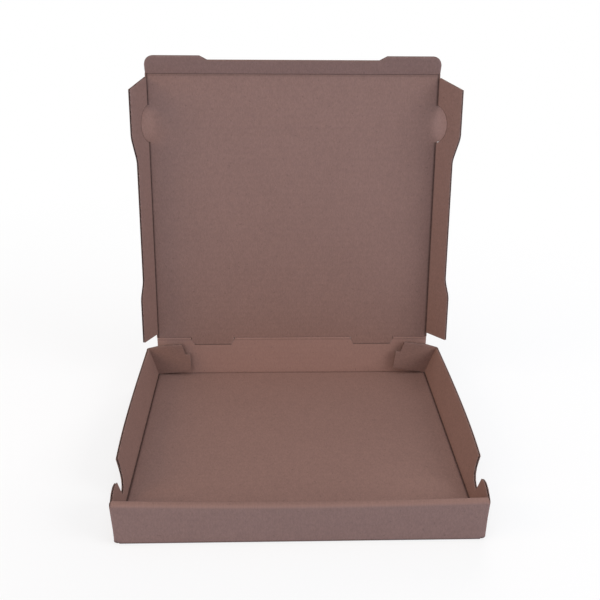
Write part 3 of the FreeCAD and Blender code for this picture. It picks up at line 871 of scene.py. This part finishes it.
@dataclass
class Tray:
    """The folded tray: floor, walls, corner ears and the rolled front wall, in millimetres."""

    board: Board
    sizes: BoxSizes
    columns: tuple[float, ...] = (0.0, 0.4, 0.8, 1.3, 2.2, 7.0)
    roll_columns: tuple[float, ...] = (0.0, 0.4, 1.3, 7.0, 24.0, 44.0, 66.0, 90.0, 114.0, 137.0)
    roll_bow: float = 2.6
    roll_drop: float = 1.0
    roll_low_place: float = 12.0
    roll_shade: float = 0.42
    ear_length: float = 38.5
    ear_height: float = 34.0
    ear_foot: float = 0.5
    ear_bend: float = 0.45
    ear_corner: float = 4.5
    ear_drop: float = 4.5
    ear_step: float = 17.0
    ear_toe: float = 5.0
    ear_toe_drop: float = 1.5
    ear_toe_tip: float = 0.2
    ear_gap: float = 0.3
    ear_room: float = 1.02
    ply_gap: float = 0.2
    end_tab_length: float = 68.0
    end_tab_root: float = 0.5
    end_tab_lean: float = 4.5
    end_tab_bevel: tuple[float, float, float] = (8.0, 2.0, 6.0)
    lining_gap: float = 1.2
    lock_place: float = 75.0
    lock_width: float = 38.0
    slot_gap: float = 0.4
    tab_gap: float = 0.07
    tab_step: float = 7.35
    # Painted light: how much paler the rear wall's inner face is painted, standing in for brighter light
    # on it.
    rear_wall_painted_light: float = 0.34
    front_inset: float = 0.8
    front_cut: float = 4.0
    front_rise: float = 1.5
    wall_points: int = 90
    ear_points: int = 12
    rear_points: int = 30
    roll_points: int = 40

    def lean(self, y: Array, side: int) -> Array:
        """Give a side wall's outward lean along its length, in degrees.

        Args:
            y: Places along the wall.
            side: -1 for the left wall, 1 for the right one.

        Returns:
            The lean at each place: a smooth curve through the four that the box was folded to.
        """
        places = self.sizes.lean_places
        total = np.zeros_like(y, dtype=float)
        for i, (place, value) in enumerate(zip(places, self.sizes.leans(side))):
            term = np.full_like(total, value)
            for j, other in enumerate(places):
                if j != i:
                    term = term * (y - other) / (place - other)
            total += term
        return total

    def wall_normal(self, y: Array, side: int) -> Array:
        """Give the unit normal of a side wall's inner face at one or more places, one a row."""
        cos, sin = unit(self.lean(np.atleast_1d(y), side))
        return as_points(-side * cos, 0.0, sin)

    def wall_place(self, side: int) -> Placer:
        """Give the placer of a side wall: u up its slope, v along the box."""

        def place(u: Array, v: Array, n: Array) -> Array:
            cos, sin = unit(self.lean(v, side))
            out = self.board.half - n
            x = self.sizes.half_width + u * sin + out * cos
            return as_points(side * x, v, self.board.thickness + u * cos - out * sin)

        return place

    def roll_rise(self, x: Array, z: Array) -> Array:
        """Give how far the front roll stands up: its ends are high, and its locks hold its middle low."""
        bow = self.roll_bow * ((x - self.roll_low_place) / self.sizes.half_width) ** 2
        foot = self.board.thickness
        height = self.sizes.roll_top - foot
        return (bow - self.roll_drop) * np.maximum((np.minimum(z, height) - foot) / height, 0)

    def roll_place(self, corner: Array, v_way: Array, n_way: Array) -> Placer:
        """Give the placer of a panel of the front roll: flat, with the roll's rise added."""
        flat = flat_placer(corner, RIGHT, v_way, n_way)

        def place(u: Array, v: Array, n: Array) -> Array:
            points = flat(u, v, n)
            points[:, 2] += self.roll_rise(points[:, 0], points[:, 2])
            return points

        return place

    def add_walls(self, parts: MeshParts) -> None:
        """Add the side walls, their ears and end tabs, and the folds between them."""
        board, sizes = self.board, self.sizes
        thick, full = board.thickness, sizes.side_height
        front = -(sizes.half_depth - self.ply_gap) + thick
        rear = sizes.half_depth - self.ear_gap - thick * self.ear_room
        strip = -(sizes.half_depth - 2 * self.ply_gap - 2 * thick) + self.ply_gap
        for side, notch in ((-1, LEFT_NOTCH), (1, RIGHT_NOTCH)):
            levels = notch.levels()
            under = sizes.roll_top - thick - self.ply_gap
            under += float(self.roll_rise(side * sizes.half_width, under))
            rows = []
            for y, z in [(front, under), (strip, under), (strip + JUMP, levels[0][1])] + levels:
                cos, _ = unit(self.lean(np.array([y]), side)[0])
                rows.append((y, 0.0, min((z - thick) / cos, full)))
            rows += [(notch.rear + JUMP, 0.0, full), (rear, 0.0, full)]
            place = self.wall_place(side)
            BoardPanel(board, rows, place, low=Side.CREASE, offsets=self.columns).add_to(parts)
            self._add_ear(parts, side, rear)
            self._add_end_tab(parts, side, front)
            y = np.linspace(front - thick, rear + thick, self.wall_points)
            line = as_points(side * sizes.half_width, y, thick)
            Fold(board, line, UP, self.wall_normal(y, side)).add_to(parts)

    def _add_ear(self, parts: MeshParts, side: int, rear: float) -> None:
        """Add a corner ear and the fold at its root."""
        board, sizes = self.board, self.sizes
        thick = board.thickness
        cos, sin = unit(sizes.leans(side)[-1])
        swing_cos, swing_sin = unit(sizes.ear_angle)
        flat = np.array([-side * cos, 0.0, sin])
        along = flat * swing_cos - REAR * swing_sin
        normal = -REAR * swing_cos - flat * swing_sin
        crease = np.array([side * sin, 0.0, cos])
        x = side * (sizes.half_width + thick * cos)
        foot = np.array([x, sizes.half_depth - self.ear_gap, thick * (1 - sin)])
        root = foot + thick * along
        place = flat_placer(root + board.half * normal, crease, along, normal)
        end, drop, step = self.ear_length, self.ear_drop, self.ear_step
        toe = step - self.ear_toe_drop
        rows = [
            (0.0, self.ear_foot, sizes.side_height),
            (self.ear_bend * end - thick, self.ear_foot - drop * self.ear_bend, self.ear_height),
            (end - JUMP, -drop, self.ear_height - self.ear_corner),
            (end, -drop, step),
            (end + self.ear_toe, toe - self.ear_toe_tip, toe),
        ]
        BoardPanel(board, rows, place, end=Side.CUT, offsets=self.columns).add_to(parts)
        heights = np.linspace(self.ear_foot, sizes.side_height, self.ear_points)[:, None]
        line = root + thick * normal + heights * crease
        Fold(board, line, self.wall_normal(rear, side), normal).add_to(parts)

    def _add_end_tab(self, parts: MeshParts, side: int, front: float) -> None:
        """Add the tab that turns in from a side wall's front end, and its fold."""
        board, sizes = self.board, self.sizes
        low = board.thickness + self.ply_gap
        high = sizes.roll_top - board.thickness - self.ply_gap
        cos, sin = unit(self.end_tab_lean)
        x = sizes.half_width + self.end_tab_root - board.thickness * sin / cos
        corner = np.array([side * x, front - board.half, 0.0])
        place = flat_placer(corner, np.array([side * sin / cos, 0.0, 1.0]), -side * RIGHT, REAR)
        run, tip, fall = self.end_tab_bevel
        end = self.end_tab_length
        rows = [(0.0, low, high), (end - run, low, high), (end - tip, low, high - fall)]
        BoardPanel(board, rows, place, end=Side.CUT, offsets=self.columns).add_to(parts)
        heights = np.linspace(0.0, (high - board.thickness) / cos, self.ear_points)
        line = self.wall_place(side)(heights, np.full_like(heights, front), board.half)
        Fold(board, line, self.wall_normal(front, side), REAR).add_to(parts)

    def add_floor(self, parts: MeshParts) -> None:
        """Add the floor panel with its two slots."""
        board, sizes = self.board, self.sizes
        wide, deep = sizes.half_width, sizes.half_depth
        place = flat_placer(board.half * UP, RIGHT, REAR, UP)
        middle = -(deep - 2 * self.ply_gap - 1.5 * board.thickness)
        reach = board.half + self.slot_gap
        near, far = middle - reach, middle + reach
        for start, end, kind in ((far, deep, Side.SCORE), (-deep, near, Side.PLAIN)):
            rows = [(start, -wide, wide), (end, -wide, wide)]
            panel = BoardPanel(board, rows, place, low=Side.CREASE, high=Side.CREASE, end=kind)
            panel.offsets = self.columns
            panel.add_to(parts)
        half = self.lock_width / 2 + self.slot_gap
        inner, outer = self.lock_place - half, self.lock_place + half
        for low, high in ((-wide, -outer), (-inner, inner), (outer, wide)):
            rows = [(near, low, high), (far, low, high)]
            BoardPanel(board, rows, place, offsets=self.columns).add_to(parts)

    def add_rear_wall(self, parts: MeshParts) -> None:
        """Add the rear wall, its rolled top crease and the fold at its foot."""
        board, sizes = self.board, self.sizes
        wide, thick = sizes.half_width, board.thickness
        place = flat_placer(sizes.hinge_y * REAR + thick * UP, RIGHT, UP, -REAR)
        top = sizes.hinge_z - thick
        step = top - self.tab_step
        rows = [(0.0, -wide, wide), (step, -wide, wide)]
        # The rear wall's inner face is painted paler: painted light.
        BoardPanel(board, rows, place, start=Side.SCORE, tone=self.rear_wall_painted_light).add_to(parts)
        inner = sizes.tab_inner - self.tab_gap
        outer = sizes.tab_inner + sizes.tab_width + self.tab_gap
        flare = sizes.tab_flare
        spread = flare * (self.tab_step - sizes.tab_depth) / sizes.tab_depth
        near, far = inner + spread, outer - spread
        for low, low_top, high, high_top in (
            (-wide, -wide, -far, -outer - flare),
            (-near, -inner + flare, near, inner - flare),
            (far, outer + flare, wide, wide),
        ):
            rows = [(step, low, high), (top, low_top, high_top), (top + board.half, low_top, high_top)]
            # The top strips are painted paler too: painted light.
            BoardPanel(board, rows, place, end=Side.ROUND, tone=self.rear_wall_painted_light).add_to(parts)
        line = as_points(np.linspace(-wide, wide, self.rear_points), sizes.half_depth, thick)
        Fold(board, line, UP, -REAR, strength=board.score_share).add_to(parts)

    def add_front_roll(self, parts: MeshParts) -> None:
        """Add the front wall, the strip over its top and the lining with its lock tabs."""
        board, sizes = self.board, self.sizes
        thick, deep = board.thickness, sizes.half_depth
        wide = sizes.half_width + thick
        foot = wide - self.front_inset
        end = foot - self.front_cut
        inside = sizes.half_width - self.lining_gap
        lining = deep - 2 * self.ply_gap - thick
        under = sizes.roll_top - thick
        bottom = thick + self.slot_gap
        outer = self.roll_place(-(deep + board.half) * REAR, UP, REAR)
        strip = self.roll_place((under + board.half) * UP, REAR, -UP)
        inner = self.roll_place((board.half - lining) * REAR, UP, -REAR)
        for place, start, reaches in (
            (outer, Side.PLAIN, [(thick, end), (thick + self.front_rise, foot), (under, wide)]),
            (strip, Side.PLAIN, [(-deep, wide), (-lining, wide)]),
            (inner, Side.CUT, [(bottom, inside), (under, inside)]),
        ):
            rows = [(v, -reach, reach) for v, reach in reaches]
            BoardPanel(board, rows, place, start=start, offsets=self.roll_columns).add_to(parts)
        half = self.lock_width / 2
        for middle in (-self.lock_place, self.lock_place):
            rows = [(low, middle - half, middle + half) for low in (self.slot_gap, bottom)]
            BoardPanel(board, rows, inner, start=Side.CUT).add_to(parts)
        for y, z, reach, first, second, shade in (
            (-deep, thick, end, UP, REAR, self.roll_shade),
            (-deep, under, wide, REAR, -UP, 0.0),
            (-lining, under, wide, -UP, -REAR, 0.0),
        ):
            x = np.linspace(-reach, reach, self.roll_points)
            line = as_points(x, y, z + self.roll_rise(x, z))
            Fold(board, line, first, second, shade=shade).add_to(parts)

    def build(self, finish: bpy.types.Material) -> bpy.types.Object:
        """Make the tray as one folded piece."""
        parts = MeshParts()
        self.add_floor(parts)
        self.add_rear_wall(parts)
        self.add_walls(parts)
        self.add_front_roll(parts)
        piece = parts.build("tray_folded_board", finish)
        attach(piece, "tray")
        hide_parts("tray")
        return piece


@dataclass
class Lid:
    """The open lid with its hinge tabs and half-moon tabs, and its three tuck flaps, in millimetres."""

    board: Board
    sizes: BoxSizes
    columns: tuple[float, ...] = (
        0.0, 0.15, 0.4, 0.8, 1.2, 1.6, 2.0, 2.4, 2.9, 4.0, 7.0, 11.0, 15.0, 19.0, 23.0, 28.0,
    )
    tab_neck: float = 1.4
    flap_rear: float = 6.5
    flap_rows: tuple[tuple[float, float], ...] = (
        (6.5, 32.0), (57.0, 32.0), (73.0, 26.0), (204.0, 26.0), (229.0, 35.8), (277.0, 35.8),
    )
    flap_front: float = 288.0
    flap_width: float = 35.8
    flap_step: float = 1.5
    soften: float = 4.0
    soften_steps: int = 9
    hole_span: tuple[float, float] = (220.5, 259.5)
    swell_shift: float = 4.0
    swell_width: float = 12.0
    swell_gain: float = 1.15
    swell_power: float = 0.6
    front_half: float = 152.5
    front_reach: float = 16.3
    lobe_reach: float = 21.1
    lobe_inner: float = 96.0
    lobe_slope: float = 8.0
    lobe_round: float = 10.0
    lobe_points: int = 14
    corner_step: float = 0.5
    corner_points: int = 8
    moon_points: int = 25
    hole_points: int = 40
    paper_ends: tuple[float, float, float] = (0.05, 0.3, 1.2)
    hinge_behind: tuple[float, ...] = (-1.2, -0.8, -0.4)

    def __post_init__(self) -> None:
        """Work out the lid's own directions."""
        cos, sin = unit(self.sizes.lid_lean)
        self.origin = np.array([0.0, self.sizes.hinge_y, self.sizes.hinge_z])
        self.along = np.array([0.0, sin, cos])
        self.inward = np.array([0.0, -cos, sin])
        self.root = self.board.half + self.sizes.crease_gap
        self.neck_flare = self.sizes.tab_flare * (1 - self.tab_neck / self.sizes.tab_depth)

    def moon(self, s: Array, grow: float) -> Array:
        """Give how far a half-moon reaches past the crease along the lid."""
        radius = self.sizes.moon_radius + grow
        inside = np.clip(radius**2 - (s - self.sizes.moon_place) ** 2, 0, None)
        return self.sizes.moon_reach - self.sizes.moon_radius + np.sqrt(inside)

    def moon_swell(self, u: Array, v: Array) -> Array:
        """Give how far the lid is lifted round its half-moons, where they were pushed through."""
        across = (np.abs(u) - self.sizes.lid_crease - self.swell_shift) / self.swell_width
        down = (v - self.sizes.moon_place) / self.sizes.moon_radius
        return np.clip(self.swell_gain * (1 - across**2 - down**2), 0, 1) ** self.swell_power

    def add_panel(self, parts: MeshParts) -> None:
        """Add the lid's panel and its hinge tabs."""
        sizes, board = self.sizes, self.board
        place = flat_placer(self.origin, RIGHT, self.along, self.inward)
        edge = sizes.lid_crease
        wide = edge + board.half
        chord = math.sqrt(sizes.moon_radius**2 - (sizes.moon_radius - sizes.moon_reach) ** 2)
        start, end = sizes.moon_place - chord, sizes.moon_place + chord
        reaches = [(self.root, wide), (start - JUMP, wide)]
        for s in np.linspace(start, end, self.moon_points):
            reaches.append((s, edge + max(float(self.moon(s, 0.0)), SLIVER)))
        reaches += [(end + JUMP, wide), (sizes.lid_length + board.half, wide)]
        rows = [(s, -x, x) for s, x in reaches]
        panel = BoardPanel(board, rows, place, low=Side.ROUND, high=Side.ROUND, end=Side.ROUND)
        panel.tab = (start - JUMP / 2, end + JUMP / 2)
        panel.offsets = self.columns
        # The swell lifts the lid round each half-moon and paints a highlight there.
        panel.swell = self.moon_swell
        panel.add_to(parts)
        inner, outer = sizes.tab_inner, sizes.tab_inner + sizes.tab_width
        flare = self.neck_flare
        flares = ((-sizes.tab_depth, 0.0), (-self.tab_neck, flare), (self.root, flare))
        for side in (-1, 1):
            rows = [(s, *sorted((side * (inner - more), side * (outer + more)))) for s, more in flares]
            BoardPanel(board, rows, place, start=Side.CUT).add_to(parts)

    def flap_edge(self, s: Array) -> Array:
        """Give a side flap's width along the lid, with its steps softened."""
        known = np.array(self.flap_rows)
        bend = known[-1, 0]
        total = np.zeros_like(s)
        for shift in np.linspace(-self.soften, self.soften, self.soften_steps):
            total += np.interp(np.clip(s + shift, known[0, 0], bend), known[:, 0], known[:, 1])
        bevel = self.flap_width * (self.flap_front - s) / (self.flap_front - bend)
        return np.minimum(total / self.soften_steps, bevel)

    def add_side_flap(self, parts: MeshParts, side: int) -> None:
        """Add a side flap, with the hole that its half-moon was cut from."""
        sizes = self.sizes
        cos, sin = unit(sizes.left_fold if side < 0 else sizes.right_fold)
        corner = self.origin + side * sizes.lid_crease * RIGHT
        out = side * cos * RIGHT + sin * self.inward
        up = -side * sin * RIGHT + cos * self.inward
        bend = self.flap_rows[-1][0]
        tip = self.root + 2 * SLIVER
        last = self.flap_front - (self.flap_front - bend) * tip / self.flap_width
        steps = np.arange(self.flap_rear, bend - 2 * SLIVER, self.flap_step)
        near_hole = np.linspace(*self.hole_span, self.hole_points)
        s = np.unique(np.concatenate([steps, [bend, last], near_hole]))
        cut = sizes.moon_radius + sizes.moon_gap
        hole = np.maximum(self.moon(s, sizes.moon_gap), self.root)
        hole = np.where(np.abs(s - sizes.moon_place) < cut, hole, self.root)
        wide = np.maximum(self.flap_edge(s), hole + SLIVER)
        rows = list(zip(s.tolist(), hole.tolist(), wide.tolist()))
        place = flat_placer(corner, out, self.along, up)
        BoardPanel(self.board, rows, place, low=Side.ROOT, start=Side.CUT, end=Side.CUT).add_to(parts)

    def front_edge(self, v: float) -> float:
        """Give half the front flap's width at a distance from its crease."""
        past = max(v - self.lobe_reach + self.lobe_round, 0.0)
        kept = math.sqrt(max(self.lobe_round**2 - past**2, 0.0))
        return self.front_half - (self.lobe_round - kept)

    def add_front_flap(self, parts: MeshParts) -> None:
        """Add the front flap and its two rounded lobes."""
        cos, sin = unit(self.sizes.front_fold)
        corner = self.origin + self.sizes.lid_length * self.along
        out = cos * self.along + sin * self.inward
        up = -sin * self.along + cos * self.inward
        place = flat_placer(corner, RIGHT, out, up)
        bend = self.lobe_reach - self.lobe_round
        corner_rows = np.linspace(bend + self.corner_step, self.front_reach, self.corner_points)
        levels = [self.root, bend] + corner_rows.tolist()
        rows = [(v, -self.front_edge(v), self.front_edge(v)) for v in levels]
        BoardPanel(self.board, rows, place, start=Side.ROOT).add_to(parts)
        tops = np.linspace(self.front_reach, self.lobe_reach - SLIVER, self.lobe_points).tolist()
        for side in (-1, 1):
            rows = []
            for v in tops:
                share = (v - self.front_reach) / (self.lobe_reach - self.front_reach)
                inner = self.lobe_inner - self.lobe_slope * (1 - share)
                rows.append((v, *sorted((side * inner, side * self.front_edge(v)))))
            BoardPanel(self.board, rows, place, end=Side.CUT).add_to(parts)

    def build(self, finish: bpy.types.Material) -> list[bpy.types.Object]:
        """Make the lid, its three flaps and the papers over the creases."""
        pieces = []
        plans = [
            ("lid_board", "lid", "lid", self.add_panel),
            ("left_flap_board", "left_flap", "lid_left_flap", lambda p: self.add_side_flap(p, -1)),
            ("right_flap_board", "right_flap", "lid_right_flap", lambda p: self.add_side_flap(p, 1)),
            ("front_flap_board", "front_flap", "lid_front_flap", self.add_front_flap),
        ]
        for name, body, node, add in plans:
            parts = MeshParts()
            add(parts)
            piece = parts.build(name, finish)
            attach(piece, body)
            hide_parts(node)
            pieces.append(piece)
        return pieces + self.crease_papers(finish)

    def crease_papers(self, finish: bpy.types.Material) -> list[bpy.types.Object]:
        """Make the outer paper over the four creases that move."""
        sizes, board = self.sizes, self.board
        edge = sizes.lid_crease
        gap, rear_end, front_end = self.paper_ends
        inner = sizes.tab_inner - self.neck_flare - gap
        outer = 2 * sizes.tab_inner + sizes.tab_width - inner
        spans = ((-inner, inner), (-edge, -outer), (outer, edge))
        hinge = CreasePaper(board, self.origin, RIGHT, UP, -REAR, 0.0, spans)
        hinge.behind = self.hinge_behind
        pieces = [hinge.build("hinge_paper", finish, "tray", "lid")]
        cut = sizes.moon_radius + sizes.moon_gap
        start, end = self.flap_rear + rear_end, self.flap_front - front_end
        spans = ((start, sizes.moon_place - cut), (sizes.moon_place + cut, end))
        for side, name, fold in ((-1, "left_flap", sizes.left_fold), (1, "right_flap", sizes.right_fold)):
            axis = self.origin + side * edge * RIGHT
            strip = CreasePaper(board, axis, self.along, side * RIGHT, self.inward, fold, spans)
            pieces.append(strip.build(name + "_crease_paper", finish, "lid", name))
        axis = self.origin + sizes.lid_length * self.along
        spans = ((-edge, edge),)
        strip = CreasePaper(board, axis, RIGHT, self.along, self.inward, sizes.front_fold, spans)
        pieces.append(strip.build("front_flap_crease_paper", finish, "lid", "front_flap"))
        return pieces


@dataclass(frozen=True)
class Lamp:
    """A round soft lamp: its place and size in metres, its power in watts and its colour."""

    name: str
    place: tuple[float, float, float]
    size: float
    power: float
    colour: tuple[float, float, float]


def turned_to(axes: Sequence[Array], place: Sequence[float]) -> Matrix:
    """Give the matrix that turns an object to three axes and moves it to a place."""
    matrix = Matrix.Identity(4)
    for column, axis in enumerate((*axes, place)):
        for line in range(3):
            matrix[line][column] = float(axis[line])
    return matrix


@dataclass
class Studio:
    """A pale floor, soft lamps and the camera that saw the box."""

    camera_place: tuple[float, float, float] = (-0.0237, -0.7477, 0.4637)
    elevation: float = 22.42
    yaw: float = -2.03
    roll: float = 0.53
    lens: float = 52.39
    sensor: float = 36.0
    clip: float = 0.01
    ambient: Colour = (0.755, 0.856, 1.0, 1.0)
    ambient_strength: float = 0.404
    floor_seen: Colour = (0.86, 0.86, 0.86, 1.0)
    floor_bounce: Colour = (0.56, 0.75, 0.98, 1.0)
    floor_size: float = 40.0
    floor_roughness: float = 0.9
    floor_specular: float = 0.1
    fade: tuple[float, float, float] = (0.3, 1.0, 0.75)
    aim: tuple[float, float, float] = (0.0, 0.02, 0.1)
    lamps: tuple[Lamp, ...] = (
        Lamp("right_lamp", (1.85, -0.95, 1.1), 1.5, 27.3, (1.0, 0.98, 0.98)),
        Lamp("left_lamp", (-1.7, -0.6, 1.0), 1.2, 13.0, (1.0, 0.70, 0.45)),
        Lamp("near_lamp", (-0.55, -1.1, 0.7), 0.8, 3.7, (1.0, 0.98, 0.96)),
        Lamp("top_lamp", (0.0, -0.3, 2.2), 1.6, 10.4, (0.95, 0.97, 1.0)),
        Lamp("rear_lamp", (0.5, 2.1, 1.1), 1.6, 30.0, (1.0, 0.93, 0.88)),
    )

    def build_camera(self) -> None:
        """Set the camera where the fitted view has it."""
        cos_el, sin_el = unit(self.elevation)
        cos_yaw, sin_yaw = unit(self.yaw)
        back = np.array([sin_yaw * cos_el, -cos_yaw * cos_el, sin_el])
        right = np.array([cos_yaw, sin_yaw, 0.0])
        up = np.cross(back, right)
        cos, sin = unit(self.roll)
        data = bpy.data.cameras.new("view_camera")
        data.lens = self.lens
        data.sensor_width = self.sensor
        data.sensor_fit = "HORIZONTAL"
        data.clip_start = self.clip
        camera = add_object("view_camera", data)
        axes = (right * cos + up * sin, -right * sin + up * cos, back)
        camera.matrix_world = turned_to(axes, self.camera_place)
        bpy.context.scene.camera = camera

    def build_lamps(self) -> None:
        """Hang the soft lamps, each aimed at the box."""
        for lamp in self.lamps:
            data = bpy.data.lights.new(lamp.name, "AREA")
            data.shape = "DISK"
            data.size = lamp.size
            data.energy = lamp.power
            data.color = lamp.colour
            away = np.array(lamp.place) - np.array(self.aim)
            away /= np.linalg.norm(away)
            side = np.cross(UP, away)
            side /= np.linalg.norm(side)
            axes = (side, np.cross(away, side), away)
            add_object(lamp.name, data).matrix_world = turned_to(axes, lamp.place)

    def build_world(self) -> None:
        """Light the room evenly and show it white to the camera."""
        world = bpy.data.worlds.new("studio_air")
        g = NodeGraph.afresh(world)
        air = g.add("ShaderNodeBackground", in_Color=self.ambient, in_Strength=self.ambient_strength)
        white = g.add("ShaderNodeBackground", in_Color=WHITE, in_Strength=1.0)
        mix = g.add("ShaderNodeMixShader", in_0=g.seen(), in_1=air.outputs[0], in_2=white.outputs[0])
        g.add("ShaderNodeOutputWorld", in_Surface=mix.outputs[0])
        bpy.context.scene.world = world

    def build_floor(self) -> None:
        """Lay a pale floor that keeps the box's shadow and fades to white."""
        material = bpy.data.materials.new("pale_floor")
        g = NodeGraph.afresh(material)
        seen = g.seen()
        where = g.add("ShaderNodeTexCoord").outputs["Object"]
        length = g.add("ShaderNodeVectorMath", operation="LENGTH", in_0=where)
        away = g.ramp(length.outputs["Value"], *self.fade)
        paint = g.blend(seen, self.floor_bounce, self.floor_seen)
        matt = g.add("ShaderNodeBsdfPrincipled", in_Base_Color=paint)
        g.feed(matt, "Roughness", self.floor_roughness)
        g.feed(matt, "Specular IOR Level", self.floor_specular)
        glow = g.add("ShaderNodeEmission", in_Color=WHITE, in_Strength=1.0)
        amount = g.times(seen, away)
        mix = g.add("ShaderNodeMixShader", in_0=amount, in_1=matt.outputs[0], in_2=glow.outputs[0])
        g.add("ShaderNodeOutputMaterial", in_Surface=mix.outputs[0])
        half = self.floor_size / 2
        mesh = bpy.data.meshes.new("studio_floor")
        corners = [(-half, -half, 0.0), (half, -half, 0.0), (half, half, 0.0), (-half, half, 0.0)]
        mesh.from_pydata(corners, [], [(0, 1, 2, 3)])
        mesh.materials.append(material)
        floor = add_object("studio_floor", mesh)

    def build(self) -> None:
        """Set the whole studio up."""
        self.build_camera()
        self.build_lamps()
        self.build_world()
        self.build_floor()
        bpy.context.scene.view_settings.view_transform = "Standard"


def main() -> None:
    """Build the box and its studio in order."""
    logging.basicConfig(level=logging.INFO)
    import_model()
    Studio().build()
    board, sizes = Board(), BoxSizes()
    finish = KraftPaper().build(PaperEffects())
    pieces = [Tray(board, sizes).build(finish)]
    pieces += Lid(board, sizes).build(finish)
    for piece in pieces:
        mesh = piece.data
        log.info("%s: %d points, %d faces", piece.name, len(mesh.vertices), len(mesh.polygons))


if __name__ == "__main__":
    main()
